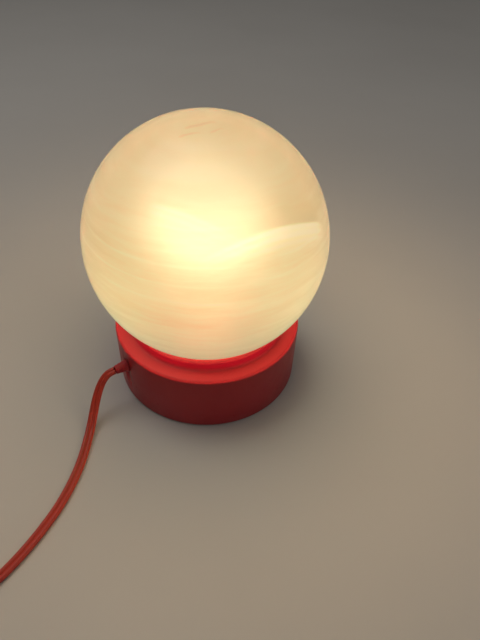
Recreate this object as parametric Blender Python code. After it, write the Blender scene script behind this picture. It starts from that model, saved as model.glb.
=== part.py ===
"""A globe table lamp: an opal glass globe on a short round base, with a flat two-core cord.

Metres, +Z up. The origin is on the lamp's axis, at the surface it stands on.
"""
import math

import bmesh
import bpy
from mathutils import Matrix, Vector

MM = 0.001
GAP = 0.3 * MM              # clearance between pieces that touch on the real lamp
SEGMENTS = 40               # facets round the large turned pieces
SMALL_SEGMENTS = 16         # facets round the lamp holder and the bulb
TINY_SEGMENTS = 8           # facets round screws, pins and feet

# Globe
GLOBE_RADIUS = 75 * MM
GLOBE_WALL = 3 * MM
GLOBE_CENTRE_Z = 106 * MM
NECK_RADIUS = 41.25 * MM
NECK_BOTTOM_Z = 36 * MM

# Base
BASE_RADIUS = 63.4 * MM
BASE_BOTTOM_Z = 1.0 * MM
RIM_Z = 43.4 * MM
BASE_WALL = 2.5 * MM
COLLAR_RADIUS = 52.9 * MM
COLLAR_TOP_Z = 49.6 * MM
WELL_RADIUS = 48.6 * MM
LEDGE_Z = 34 * MM
PAN_RADIUS = 30 * MM
PAN_Z = 27 * MM
PAN_HOLE_RADIUS = 5.4 * MM
FIXING_COUNT = 4
BOSS_CIRCLE = 44 * MM       # radius of the circle that the cover screws are on
BOSS_RADIUS = 3.6 * MM
FOOT_CIRCLE = 50 * MM
COVER_BOTTOM_Z = 2.2 * MM
COVER_THICKNESS = 2.2 * MM

# Lamp holder and bulb
HOLDER_RADIUS = 20 * MM
CORE_BOTTOM_Z = 34 * MM
CORE_TOP_Z = 44.2 * MM
THREAD_PITCH = 3.63 * MM
CAP_RADIUS = 13.2 * MM
BULB_TIP_Z = 46.3 * MM
BULB_RADIUS = 30 * MM
BULB_CENTRE_Z = 121.3 * MM

# Cord
CORD_THICKNESS = 3 * MM
CORD_EXIT_AZIMUTH = math.radians(-148)
CORD_EXIT_Z = 28.5 * MM
GROMMET_START = 52 * MM     # distance of its inner end from the lamp's axis
GROMMET_END = 72 * MM
COIL_CENTRE = (-199 * MM, -104 * MM)
COIL_OUTER_RADIUS = 41 * MM
COIL_INNER_RADIUS = 30.5 * MM
COIL_HEIGHT = 12.8 * MM
COIL_SEGMENTS = 24

# In-line switch, its long axis along X
SWITCH_CENTRE = (-170 * MM, -169 * MM)
SWITCH_LENGTH = 60 * MM
SWITCH_WIDTH = 24 * MM
SWITCH_SPLIT_Z = 7.4 * MM
SWITCH_TOP_Z = 15 * MM
SWITCH_CORD_Z = 6 * MM
ROCKER_PIVOT_Z = 11.5 * MM
ROCKER_REST_TILT = math.radians(8)

# Plug, its pins pointing along PLUG_AZIMUTH
PLUG_ENTRY = (-231.5 * MM, -12 * MM)
PLUG_AZIMUTH = math.radians(80)
PLUG_AXIS_Z = 7.3 * MM
PLUG_BODY_LENGTH = 46 * MM
PIN_RADIUS = 2 * MM
PIN_LENGTH = 19 * MM
PIN_SPACING = 18.6 * MM


# ---------------------------------------------------------------- helpers

def clear_scene():
    for old in list(bpy.data.objects):
        bpy.data.objects.remove(old, do_unlink=True)


def material(name, colour, roughness, metallic=0.0, alpha=1.0):
    made = bpy.data.materials.get(name)
    if made:
        return made
    made = bpy.data.materials.new(name)
    made.use_nodes = True
    shader = made.node_tree.nodes["Principled BSDF"]
    shader.inputs["Base Color"].default_value = (*colour, 1.0)
    shader.inputs["Roughness"].default_value = roughness
    shader.inputs["Metallic"].default_value = metallic
    shader.inputs["Alpha"].default_value = alpha
    return made


def red_plastic():
    return material("red_plastic", (0.60, 0.022, 0.018), 0.38)


def black_plastic():
    return material("black_plastic", (0.02, 0.02, 0.02), 0.5)


def cream_plastic():
    return material("cream_plastic", (0.72, 0.68, 0.58), 0.45)


def opal_glass():
    return material("opal_glass", (0.95, 0.86, 0.68), 0.25)


def clear_glass():
    return material("clear_glass", (0.95, 0.95, 0.93), 0.05, alpha=0.35)


def brass():
    return material("brass", (0.75, 0.55, 0.22), 0.3, metallic=1.0)


def nickel():
    return material("nickel", (0.70, 0.69, 0.66), 0.28, metallic=1.0)


def steel():
    return material("steel", (0.55, 0.55, 0.55), 0.35, metallic=1.0)


def rubber():
    return material("rubber", (0.03, 0.03, 0.03), 0.8)


def red_cord():
    return material("red_cord", (0.55, 0.06, 0.03), 0.42)


def finish(name, bm, stuff, origin=(0, 0, 0)):
    """Turn a bmesh in world coordinates into a named object with the given origin."""
    bmesh.ops.remove_doubles(bm, verts=bm.verts, dist=1e-6)
    bmesh.ops.dissolve_degenerate(bm, dist=1e-6, edges=bm.edges)
    bmesh.ops.recalc_face_normals(bm, faces=bm.faces)
    bmesh.ops.translate(bm, verts=bm.verts, vec=-Vector(origin))
    mesh = bpy.data.meshes.new(name)
    bm.to_mesh(mesh)
    bm.free()
    mesh.shade_smooth()
    mesh.set_sharp_from_angle(angle=math.radians(35))
    obj = bpy.data.objects.new(name, mesh)
    bpy.context.collection.objects.link(obj)
    obj.location = origin
    if stuff:
        mesh.materials.append(stuff)
    return obj


def hide(obj):
    """Mark a cutter or a boss that only shapes another object."""
    obj.hide_render = True
    obj.display_type = "WIRE"
    return obj


def boolean(obj, tool, operation):
    modifier = obj.modifiers.new(tool.name, "BOOLEAN")
    modifier.operation = operation
    modifier.solver = "EXACT"
    modifier.object = hide(tool)


def cut(obj, tool):
    boolean(obj, tool, "DIFFERENCE")


def add(obj, tool):
    boolean(obj, tool, "UNION")


def arc(centre_r, centre_z, radius, start, end, steps):
    """Points of an arc in the profile plane; angles in degrees, 0 pointing outwards."""
    points = []
    for i in range(steps + 1):
        angle = math.radians(start + (end - start) * i / steps)
        points.append((centre_r + radius * math.cos(angle), centre_z + radius * math.sin(angle)))
    return points


def turned_mesh(profile, segments, centre=(0, 0)):
    """Spin a closed profile of (radius, height) points about a vertical axis."""
    bm = bmesh.new()
    verts = [bm.verts.new((r + centre[0], centre[1], z)) for r, z in profile]
    for i, vert in enumerate(verts):
        follower = verts[(i + 1) % len(verts)]
        on_axis = profile[i][0] == 0 and profile[(i + 1) % len(verts)][0] == 0
        if not on_axis:
            bm.edges.new((vert, follower))
    bmesh.ops.spin(bm, geom=list(bm.edges), cent=(*centre, 0), axis=(0, 0, 1),
                   angle=2 * math.pi, steps=segments, use_duplicate=False)
    return bm


def turned(name, profile, stuff, segments=SEGMENTS, centre=(0, 0), origin=(0, 0, 0)):
    return finish(name, turned_mesh(profile, segments, centre), stuff, origin)


def cylinder_profile(radius, low, high):
    return [(0, low), (radius, low), (radius, high), (0, high)]


def tube_profile(inner, outer, low, high):
    return [(inner, low), (outer, low), (outer, high), (inner, high)]


def transformed(bm, matrix):
    bmesh.ops.transform(bm, matrix=matrix, verts=bm.verts)
    return bm


def along(start, azimuth):
    """Matrix that lays a piece turned about +Z down, its axis pointing along azimuth."""
    return (Matrix.Translation(start) @ Matrix.Rotation(azimuth, 4, "Z")
            @ Matrix.Rotation(math.radians(90), 4, "Y"))


def box_mesh(low, high):
    bm = bmesh.new()
    bmesh.ops.create_cube(bm, size=1)
    size = Vector(high) - Vector(low)
    centre = (Vector(high) + Vector(low)) / 2
    bmesh.ops.scale(bm, vec=size, verts=bm.verts)
    bmesh.ops.translate(bm, vec=centre, verts=bm.verts)
    return bm


def prism(outline, low, high):
    """Extrude a closed outline of (x, y) points from one height to another."""
    bm = bmesh.new()
    face = bm.faces.new([bm.verts.new((x, y, low)) for x, y in outline])
    extruded = bmesh.ops.extrude_face_region(bm, geom=[face])
    moved = [item for item in extruded["geom"] if isinstance(item, bmesh.types.BMVert)]
    bmesh.ops.translate(bm, verts=moved, vec=(0, 0, high - low))
    return bm


def rounded_rectangle(length, width, radius, steps=5):
    points = []
    corners = [(1, 1, 0), (-1, 1, 90), (-1, -1, 180), (1, -1, 270)]
    for side_x, side_y, start in corners:
        centre_x = side_x * (length / 2 - radius)
        centre_y = side_y * (width / 2 - radius)
        points += arc(centre_x, centre_y, radius, start, start + 90, steps)
    return points


def polar(radius, azimuth, z=0.0):
    return Vector((radius * math.cos(azimuth), radius * math.sin(azimuth), z))


def fixing_azimuth(index, offset=0.0):
    return 2 * math.pi * index / FIXING_COUNT + offset


def smooth_route(points, spacing):
    """Catmull-Rom curve through the route's points, sampled at an even spacing."""
    route = [Vector(p) * MM for p in points]
    route = [2 * route[0] - route[1]] + route + [2 * route[-1] - route[-2]]
    dense = []
    for i in range(1, len(route) - 2):
        a, b, c, d = route[i - 1:i + 3]
        for step in range(40):
            t = step / 40
            dense.append(0.5 * (2 * b + (c - a) * t + (2 * a - 5 * b + 4 * c - d) * t ** 2
                                + (3 * b - a - 3 * c + d) * t ** 3))
    dense.append(route[-2])
    lengths = [0.0]
    for before, after in zip(dense, dense[1:]):
        lengths.append(lengths[-1] + (after - before).length)
    count = max(2, round(lengths[-1] / spacing))
    even = []
    reached = 0
    for i in range(count + 1):
        wanted = lengths[-1] * i / count
        while reached < len(dense) - 2 and lengths[reached + 1] < wanted:
            reached += 1
        share = (wanted - lengths[reached]) / (lengths[reached + 1] - lengths[reached])
        even.append(dense[reached].lerp(dense[reached + 1], share))
    return even


def cable(name, points, radius, stuff, resolution=2):
    curve = bpy.data.curves.new(name, "CURVE")
    curve.dimensions = "3D"
    curve.bevel_depth = radius
    curve.bevel_resolution = resolution
    curve.use_fill_caps = True
    spline = curve.splines.new("POLY")
    spline.points.add(len(points) - 1)
    for point, place in zip(spline.points, points):
        point.co = (*place, 1.0)
    curve.materials.append(stuff)
    obj = bpy.data.objects.new(name, curve)
    bpy.context.collection.objects.link(obj)
    return obj


# ---------------------------------------------------------------- base

def sphere_height(radius_here, sphere_radius):
    """Height of the lower half of a sphere about the globe's centre."""
    return GLOBE_CENTRE_Z - math.sqrt(sphere_radius ** 2 - radius_here ** 2)


def base_shell():
    rim = 2 * MM
    fillet = 2.2 * MM
    lip = 1.3 * MM
    inside = BASE_RADIUS - BASE_WALL
    seat_radius = GLOBE_RADIUS + GAP
    seat_top = math.sqrt(seat_radius ** 2 - (GLOBE_CENTRE_Z - COLLAR_TOP_Z) ** 2)
    seat_foot = sphere_height(WELL_RADIUS, seat_radius)
    well_outside = WELL_RADIUS + 2.4 * MM
    under_top = RIM_Z - BASE_WALL
    profile = [(BASE_RADIUS, BASE_BOTTOM_Z)]
    profile += arc(BASE_RADIUS - rim, RIM_Z - rim, rim, 0, 90, 2)
    profile += arc(COLLAR_RADIUS + fillet, RIM_Z + fillet, fillet, 270, 180, 2)
    profile += arc(COLLAR_RADIUS - lip, COLLAR_TOP_Z - lip, lip, 0, 90, 2)
    profile += [(seat_top, COLLAR_TOP_Z), (WELL_RADIUS, seat_foot)]
    profile += arc(WELL_RADIUS - rim, LEDGE_Z + rim, rim, 0, -90, 2)
    profile += arc(PAN_RADIUS + 1 * MM, LEDGE_Z - 1 * MM, 1 * MM, 90, 180, 1)
    profile += [(PAN_RADIUS, PAN_Z), (PAN_HOLE_RADIUS, PAN_Z)]
    profile += [(PAN_HOLE_RADIUS, PAN_Z - BASE_WALL), (PAN_RADIUS + 2.4 * MM, PAN_Z - BASE_WALL)]
    profile += [(PAN_RADIUS + 2.4 * MM, LEDGE_Z - BASE_WALL), (well_outside, LEDGE_Z - BASE_WALL)]
    profile += [(well_outside, under_top), (inside - rim, under_top)]
    profile += [(inside, under_top - rim), (inside, BASE_BOTTOM_Z)]
    shell = turned("base_shell", profile, red_plastic())

    cover_top = COVER_BOTTOM_Z + COVER_THICKNESS
    for i in range(FIXING_COUNT):
        place = polar(BOSS_CIRCLE, fixing_azimuth(i))
        boss = turned(f"boss_{i + 1}", cylinder_profile(BOSS_RADIUS, cover_top + GAP, LEDGE_Z - 1 * MM),
                      None, TINY_SEGMENTS, (place.x, place.y))
        add(shell, boss)
        hole = turned(f"boss_hole_{i + 1}", cylinder_profile(1.6 * MM, 0, 20 * MM),
                      None, TINY_SEGMENTS, (place.x, place.y))
        cut(shell, hole)
    cord_hole = transformed(turned_mesh(cylinder_profile(4.3 * MM, 0, 12 * MM), TINY_SEGMENTS),
                            along(polar(56 * MM, CORD_EXIT_AZIMUTH, CORD_EXIT_Z), CORD_EXIT_AZIMUTH))
    cut(shell, finish("cord_hole", cord_hole, None))
    return shell


def bottom_cover():
    radius = BASE_RADIUS - BASE_WALL - 0.5 * MM
    top = COVER_BOTTOM_Z + COVER_THICKNESS
    cover = turned("bottom_cover", cylinder_profile(radius, COVER_BOTTOM_Z, top), black_plastic())
    for i in range(FIXING_COUNT):
        place = polar(BOSS_CIRCLE, fixing_azimuth(i))
        countersink = [(0, 0), (5.3 * MM, 0), (1.8 * MM, COVER_BOTTOM_Z + 1.8 * MM), (1.8 * MM, 6 * MM),
                       (0, 6 * MM)]
        cut(cover, turned(f"screw_hole_{i + 1}", countersink, None, TINY_SEGMENTS, (place.x, place.y)))
        place = polar(FOOT_CIRCLE, fixing_azimuth(i, math.pi / 4))
        cut(cover, turned(f"foot_hole_{i + 1}", cylinder_profile(2.3 * MM, 0, 6 * MM),
                          None, TINY_SEGMENTS, (place.x, place.y)))
    slots = bmesh.new()
    slot_count = 8
    for i in range(slot_count):
        slot = prism(rounded_rectangle(15 * MM, 3 * MM, 1.4 * MM, 1), 0, 6 * MM)
        turn = Matrix.Rotation(2 * math.pi * (i + 0.5) / slot_count, 4, "Z")
        transformed(slot, turn @ Matrix.Translation((27 * MM, 0, 0)))
        scratch = bpy.data.meshes.new("slot")
        slot.to_mesh(scratch)
        slot.free()
        slots.from_mesh(scratch)
        bpy.data.meshes.remove(scratch)
    cut(cover, finish("vent_slots", slots, None))
    return cover


def cover_screws():
    head = COVER_BOTTOM_Z + 0.1 * MM
    profile = [(0, head), (3.0 * MM, head), (1.3 * MM, head + 1.9 * MM), (1.3 * MM, 16 * MM),
               (0, 17 * MM)]
    for i in range(FIXING_COUNT):
        place = polar(BOSS_CIRCLE, fixing_azimuth(i))
        screw = turned(f"cover_screw_{i + 1}", profile, steel(), TINY_SEGMENTS, (place.x, place.y),
                       (place.x, place.y, 0))
        slot = box_mesh((place.x - 2.2 * MM, place.y - 0.4 * MM, 0),
                        (place.x + 2.2 * MM, place.y + 0.4 * MM, head + 0.8 * MM))
        cut(screw, finish(f"screw_slot_{i + 1}", slot, None))


def feet():
    pad_top = COVER_BOTTOM_Z - GAP
    barb = COVER_BOTTOM_Z + COVER_THICKNESS + GAP
    profile = [(0, 0), (5.4 * MM, 0), (6 * MM, 0.6 * MM), (6 * MM, pad_top), (2 * MM, pad_top),
               (2 * MM, barb), (2.7 * MM, barb), (1.4 * MM, barb + 2 * MM), (0, barb + 2 * MM)]
    for i in range(FIXING_COUNT):
        place = polar(FOOT_CIRCLE, fixing_azimuth(i, math.pi / 4))
        turned(f"foot_{i + 1}", profile, rubber(), TINY_SEGMENTS, (place.x, place.y),
               (place.x, place.y, 0))


# ---------------------------------------------------------------- globe

def globe():
    inner = GLOBE_RADIUS - GLOBE_WALL
    neck_inside = NECK_RADIUS - GLOBE_WALL
    join_angle = -math.degrees(math.acos(NECK_RADIUS / GLOBE_RADIUS))
    inner_angle = -math.degrees(math.acos(neck_inside / inner))
    profile = arc(0, GLOBE_CENTRE_Z, GLOBE_RADIUS, join_angle, 90, 14)
    profile[-1] = (0, GLOBE_CENTRE_Z + GLOBE_RADIUS)
    inside = arc(0, GLOBE_CENTRE_Z, inner, 90, inner_angle, 10)
    inside[0] = (0, GLOBE_CENTRE_Z + inner)
    profile += inside
    profile += [(neck_inside, NECK_BOTTOM_Z + 0.6 * MM), (neck_inside + 0.6 * MM, NECK_BOTTOM_Z)]
    profile += arc(NECK_RADIUS, NECK_BOTTOM_Z + 0.9 * MM, 0.9 * MM, -90, 60, 2)
    profile += [(NECK_RADIUS, NECK_BOTTOM_Z + 2.4 * MM)]
    return turned("globe", profile, opal_glass())


# ---------------------------------------------------------------- lamp holder

def holder_fixing():
    """The threaded nipple through the pan, with its washer and nut underneath."""
    turned("holder_nipple", tube_profile(3.6 * MM, 5 * MM, 16 * MM, 33 * MM), brass(), SMALL_SEGMENTS)
    under_pan = PAN_Z - BASE_WALL
    turned("nipple_washer", tube_profile(5.3 * MM, 9 * MM, under_pan - 1.1 * MM, under_pan - GAP),
           steel(), SMALL_SEGMENTS)
    across_corners = 8.1 * MM
    hexagon = [tuple(polar(across_corners, math.radians(60 * i)).xy) for i in range(6)]
    nut = finish("nipple_nut", prism(hexagon, under_pan - 5.4 * MM, under_pan - 1.4 * MM), steel())
    cut(nut, turned("nut_hole", cylinder_profile(5.3 * MM, 15 * MM, 28 * MM), None, SMALL_SEGMENTS))


def holder_base():
    low = PAN_Z + GAP
    inside = HOLDER_RADIUS - 2.4 * MM
    profile = [(5.3 * MM, low), (HOLDER_RADIUS - 2 * MM, low), (HOLDER_RADIUS, low + 2 * MM),
               (HOLDER_RADIUS, 40 * MM), (inside, 40 * MM), (inside, low + 3 * MM),
               (5.3 * MM, low + 3 * MM)]
    turned("holder_base", profile, cream_plastic(), SMALL_SEGMENTS)


def holder_skirt():
    inside = HOLDER_RADIUS - 2.4 * MM
    low = 40 * MM + GAP
    top = 70 * MM
    profile = [(HOLDER_RADIUS, low), (HOLDER_RADIUS, top - 2 * MM)]
    profile += arc(HOLDER_RADIUS - 2 * MM, top - 2 * MM, 2 * MM, 0, 90, 2)
    profile += [(15.4 * MM, top), (15.4 * MM, top - 2.4 * MM), (inside, top - 2.4 * MM), (inside, low)]
    turned("holder_skirt", profile, cream_plastic(), SMALL_SEGMENTS)


def holder_core():
    core = turned("holder_core", cylinder_profile(17 * MM, CORE_BOTTOM_Z, CORE_TOP_Z),
                  cream_plastic(), SMALL_SEGMENTS)
    cut(core, turned("wire_way", cylinder_profile(2.6 * MM, CORE_BOTTOM_Z - 1 * MM, CORE_BOTTOM_Z + 4 * MM),
                     None, TINY_SEGMENTS))
    screw = [(0, 31.6 * MM), (2.4 * MM, 31.6 * MM), (2.4 * MM, 33.7 * MM), (1.3 * MM, 33.7 * MM),
             (1.3 * MM, 38.5 * MM), (0, 38.5 * MM)]
    for i, side in enumerate((-1, 1)):
        place = (side * 9 * MM, 0)
        cut(core, turned(f"terminal_hole_{i + 1}", cylinder_profile(1.6 * MM, 33 * MM, 39 * MM),
                         None, TINY_SEGMENTS, place))
        turned(f"terminal_screw_{i + 1}", screw, brass(), TINY_SEGMENTS, place, (*place, 0))


def holder_thread():
    """The brass screw shell, a plain sleeve with clearance for the bulb's cap."""
    low = CORE_TOP_Z + GAP
    flange = low + 0.5 * MM
    top = low + 5.4 * THREAD_PITCH
    profile = [(16 * MM, low), (16 * MM, flange), (14.6 * MM, flange), (14.6 * MM, top), (14 * MM, top),
               (14 * MM, low)]
    turned("holder_thread", profile, brass(), SMALL_SEGMENTS)


def holder_contact():
    """A springy strip, arched up under the bulb's tip."""
    half = 7 * MM
    thickness = 0.5 * MM
    low = CORE_TOP_Z + GAP
    rise = 0.9 * MM
    upper = []
    for i in range(9):
        x = -half + 2 * half * i / 8
        upper.append((x, low + thickness + rise * (1 - (x / half) ** 2)))
    lower = [(x, z - thickness) for x, z in reversed(upper)]
    strip = prism(upper + lower, -3 * MM, 3 * MM)
    transformed(strip, Matrix.Rotation(math.radians(90), 4, "X"))
    finish("holder_contact", strip, brass())


# ---------------------------------------------------------------- bulb

def bulb_outline(shrink):
    """Half outline of the bulb's glass, from its neck to its top, moved in by shrink."""
    radius = BULB_RADIUS - shrink
    touch = -38
    start = Vector((15.2 * MM - shrink, 78 * MM))
    end = Vector(arc(0, BULB_CENTRE_Z, radius, touch, touch, 1)[0])
    start_slope = Vector((0, 30 * MM))
    end_slope = Vector((math.sin(math.radians(-touch)), math.cos(math.radians(touch)))) * 28 * MM
    outline = [(12.3 * MM - shrink, 66 * MM), (12.3 * MM - shrink, 73.5 * MM),
               (14.2 * MM - shrink, 75.2 * MM)]
    for i in range(4):
        t = i / 4
        point = (start * (2 * t ** 3 - 3 * t ** 2 + 1) + start_slope * (t ** 3 - 2 * t ** 2 + t)
                 + end * (3 * t ** 2 - 2 * t ** 3) + end_slope * (t ** 3 - t ** 2))
        outline.append((point.x, point.y))
    outline += arc(0, BULB_CENTRE_Z, radius, touch, 90, 6)
    outline[-1] = (0, BULB_CENTRE_Z + radius)
    return outline


def bulb_glass():
    profile = bulb_outline(0) + list(reversed(bulb_outline(0.8 * MM)))
    turned("bulb_glass", profile, clear_glass(), SMALL_SEGMENTS)


def bulb_cap():
    """The screw cap, a plain sleeve of the thread's outside diameter."""
    profile = [(11.4 * MM, 49.8 * MM), (11.9 * MM, 49.8 * MM), (CAP_RADIUS, 51.6 * MM), (CAP_RADIUS, 73 * MM),
               (12.7 * MM, 73 * MM), (12.7 * MM, 65.4 * MM), (11.4 * MM, 64.6 * MM)]
    turned("bulb_cap", profile, nickel(), SMALL_SEGMENTS)


def bulb_foot():
    """The black glass insulator and the solder tip below it."""
    profile = [(0, 47.9 * MM), (4.8 * MM, 47.9 * MM), (10.9 * MM, 50.4 * MM), (10.9 * MM, 53 * MM),
               (0, 53 * MM)]
    turned("bulb_insulator", profile, black_plastic(), SMALL_SEGMENTS)
    tip = [(0, BULB_TIP_Z), (2.6 * MM, BULB_TIP_Z + 0.2 * MM), (4.4 * MM, 47.1 * MM), (4.4 * MM, 47.6 * MM),
           (0, 47.6 * MM)]
    turned("bulb_tip", tip, steel(), SMALL_SEGMENTS)


def bulb_inside():
    """The glass stem, its two wires and the filament between them."""
    stem = [(0, 68 * MM), (10.4 * MM, 68 * MM), (9 * MM, 70 * MM), (4 * MM, 76 * MM), (3 * MM, 84 * MM),
            (2.5 * MM, 98 * MM), (3 * MM, 102 * MM), (2 * MM, 104 * MM), (0, 104.4 * MM)]
    turned("bulb_stem", stem, clear_glass(), TINY_SEGMENTS)
    for i, side in enumerate((-1, 1)):
        points = [(side * 3.6, 0, 98), (side * 4.2, 0, 103), (side * 7, 0, 112), (side * 11, 0, 122)]
        cable(f"bulb_wire_{i + 1}", smooth_route(points, 3 * MM), 0.35 * MM, nickel())
    points = [(-10.2, 0, 122.4), (-5, 0, 123.6), (0, 0, 124), (5, 0, 123.6), (10.2, 0, 122.4)]
    cable("bulb_filament", smooth_route(points, 2 * MM), 0.5 * MM, steel())


# ---------------------------------------------------------------- cord

# Where the cord runs, in millimetres, chosen by hand.
INNER_ROUTE = [(-43.8, -27.4, 28.4), (-39, -24.4, 25.4), (-31, -19.4, 17), (-22, -13.7, 10.5), (-13, -8.1, 8),
               (-6, -3.7, 8.6), (-1.8, -1.1, 12), (0, 0, 18), (0, 0, 26), (0, 0, 35)]
LEAD_ROUTE = [(-61.3, -38.3, 28.5), (-65.6, -40.3, 27.2), (-69.3, -43, 23.2), (-72, -46.6, 18),
              (-73.9, -51, 12.8), (-75.2, -56.6, 8), (-76.2, -63.6, 4.2), (-77.1, -72.5, 2.2),
              (-78.2, -84.4, 1.6), (-79.8, -95.4, 1.6), (-82.6, -107, 1.6), (-86.4, -118.4, 1.6),
              (-91.4, -129.4, 1.6), (-97.4, -140.4, 1.6), (-103.6, -149.9, 1.6), (-110, -158, 1.6),
              (-118, -164.8, 1.8), (-127, -168.4, 3.2), (-134, -169, 5), (-139.7, -169, 6)]
LINK_ROUTE = [(-200.3, -169, 6), (-206, -168.7, 4.6), (-215, -166, 2.4), (-226, -159, 1.7),
              (-235, -147, 1.9), (-240.6, -133, 2.6), (-243, -119, 3.1)]
TAIL_ROUTE = [(-243, -90, 9.4), (-242.4, -78, 7.6), (-240.6, -64, 3.8), (-237.6, -48, 1.9),
              (-234.6, -32, 3), (-232.6, -20, 6), (-231.5, -12.3, 7.3)]


def cords():
    radius = CORD_THICKNESS / 2
    cable("inner_lead", smooth_route(INNER_ROUTE, 7 * MM), radius, red_cord())
    cable("cord_lead", smooth_route(LEAD_ROUTE, 7.5 * MM), radius, red_cord())
    cable("cord_link", smooth_route(LINK_ROUTE, 7.5 * MM), radius, red_cord())
    cable("cord_tail", smooth_route(TAIL_ROUTE, 7.5 * MM), radius, red_cord())
    corner = 2.5 * MM
    profile = arc(COIL_OUTER_RADIUS - corner, 0.1 * MM + corner, corner, -90, 0, 2)
    profile += arc(COIL_OUTER_RADIUS - corner, COIL_HEIGHT - corner, corner, 0, 90, 2)
    profile += arc(COIL_INNER_RADIUS + corner, COIL_HEIGHT - corner, corner, 90, 180, 2)
    profile += arc(COIL_INNER_RADIUS + corner, 0.1 * MM + corner, corner, 180, 270, 2)
    turned("cord_coil", profile, red_cord(), COIL_SEGMENTS, COIL_CENTRE)


def cord_grommet():
    """A tapered bushing that grips the cord where it goes through the base's wall."""
    length = GROMMET_END - GROMMET_START
    wall_in = BASE_RADIUS - BASE_WALL - GROMMET_START
    wall_out = BASE_RADIUS - GROMMET_START
    bore = 1.9 * MM
    profile = [(bore, 0), (4 * MM, 0), (5.4 * MM, 1 * MM), (5.4 * MM, wall_in - 1 * MM),
               (3.9 * MM, wall_in - 1 * MM), (3.9 * MM, wall_out + 0.6 * MM), (3.6 * MM, wall_out + 1.4 * MM),
               (2.9 * MM, length), (bore, length)]
    bm = turned_mesh(profile, TINY_SEGMENTS)
    start = polar(GROMMET_START, CORD_EXIT_AZIMUTH, CORD_EXIT_Z)
    finish("cord_grommet", transformed(bm, along(start, CORD_EXIT_AZIMUTH)), red_plastic(), start)


# ---------------------------------------------------------------- in-line switch

def switch_piece(name, bm, stuff, origin_z=0.0):
    """Move a piece from the switch's own centre to its place on the cord."""
    transformed(bm, Matrix.Translation((*SWITCH_CENTRE, 0)))
    return finish(name, bm, stuff, (*SWITCH_CENTRE, origin_z))


def switch_cutter(name, bm):
    return switch_piece(name, bm, None)


def switch_housing():
    """Two half shells; the lower one is mostly solid, with a channel for the cord."""
    outline = rounded_rectangle(SWITCH_LENGTH, SWITCH_WIDTH, 10 * MM)
    inset = rounded_rectangle(SWITCH_LENGTH - 2.4 * MM, SWITCH_WIDTH - 2.4 * MM, 8.8 * MM)
    lower = switch_piece("switch_lower", tapered(inset, outline, 0.2 * MM, 2.2 * MM, SWITCH_SPLIT_Z),
                         cream_plastic())
    split_up = SWITCH_SPLIT_Z + GAP
    upper = switch_piece("switch_upper",
                         tapered(inset, outline, SWITCH_TOP_Z, SWITCH_TOP_Z - 2 * MM, split_up),
                         cream_plastic())
    pocket = rounded_rectangle(30 * MM, 16 * MM, 2 * MM, 2)
    cut(lower, switch_cutter("lower_pocket", prism(pocket, 2.4 * MM, 9 * MM)))
    cut(upper, switch_cutter("upper_pocket", prism(pocket, 5 * MM, SWITCH_TOP_Z - 2 * MM)))
    window = rounded_rectangle(20 * MM, 11 * MM, 1 * MM, 2)
    cut(upper, switch_cutter("rocker_window", prism(window, 10 * MM, 18 * MM)))
    for half in (lower, upper):
        channel = transformed(turned_mesh(cylinder_profile(3.3 * MM, -35 * MM, 35 * MM), TINY_SEGMENTS),
                              along((0, 0, SWITCH_CORD_Z), 0))
        cut(half, switch_cutter(f"{half.name}_channel", channel))
    for i, side in enumerate((-1, 1)):
        add_switch_screw(lower, i + 1, (side * 22 * MM, side * 7.4 * MM))


def tapered(small, large, small_z, step_z, large_z):
    """Solid between two heights, drawn in towards its small end."""
    bm = bmesh.new()
    rings = []
    for outline, z in ((small, small_z), (large, step_z), (large, large_z)):
        rings.append([bm.verts.new((x, y, z)) for x, y in outline])
    for below, above in zip(rings, rings[1:]):
        for i in range(len(below)):
            j = (i + 1) % len(below)
            bm.faces.new((below[i], below[j], above[j], above[i]))
    bm.faces.new(rings[0])
    bm.faces.new(rings[-1])
    return bm


def add_switch_screw(lower, index, place):
    hole = [(0, -1 * MM), (2.5 * MM, -1 * MM), (2.5 * MM, 2.6 * MM), (1.3 * MM, 2.6 * MM),
            (1.3 * MM, 6.9 * MM), (0, 6.9 * MM)]
    cut(lower, switch_cutter(f"switch_screw_hole_{index}", turned_mesh(hole, TINY_SEGMENTS, place)))
    screw = [(0, 1.1 * MM), (2.1 * MM, 1.1 * MM), (2.1 * MM, 2.3 * MM), (1.0 * MM, 2.3 * MM),
             (1.0 * MM, 6.4 * MM), (0, 6.4 * MM)]
    switch_piece(f"switch_screw_{index}", turned_mesh(screw, TINY_SEGMENTS, place), steel())


def switch_rocker():
    """Side view extruded across the switch, tipped to its resting side."""
    half = 9 * MM
    outline = [(-half, -1 * MM), (-half, 4.9 * MM), (-half * 0.5, 4.1 * MM), (0, 3.8 * MM),
               (half * 0.5, 4.1 * MM), (half, 4.9 * MM), (half, -1 * MM), (3.5 * MM, -3.6 * MM),
               (-3.5 * MM, -3.6 * MM)]
    bm = prism(outline, -4.9 * MM, 4.9 * MM)
    transformed(bm, Matrix.Rotation(math.radians(90), 4, "X"))
    transformed(bm, Matrix.Translation((0, 0, ROCKER_PIVOT_Z)) @ Matrix.Rotation(ROCKER_REST_TILT, 4, "Y"))
    switch_piece("switch_rocker", bm, black_plastic(), ROCKER_PIVOT_Z)


# ---------------------------------------------------------------- plug

def plug_frame():
    """Matrix from the plug's own frame, its cord end at the origin and its pins along +X."""
    return Matrix.Translation((*PLUG_ENTRY, PLUG_AXIS_Z)) @ Matrix.Rotation(PLUG_AZIMUTH, 4, "Z")


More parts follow.
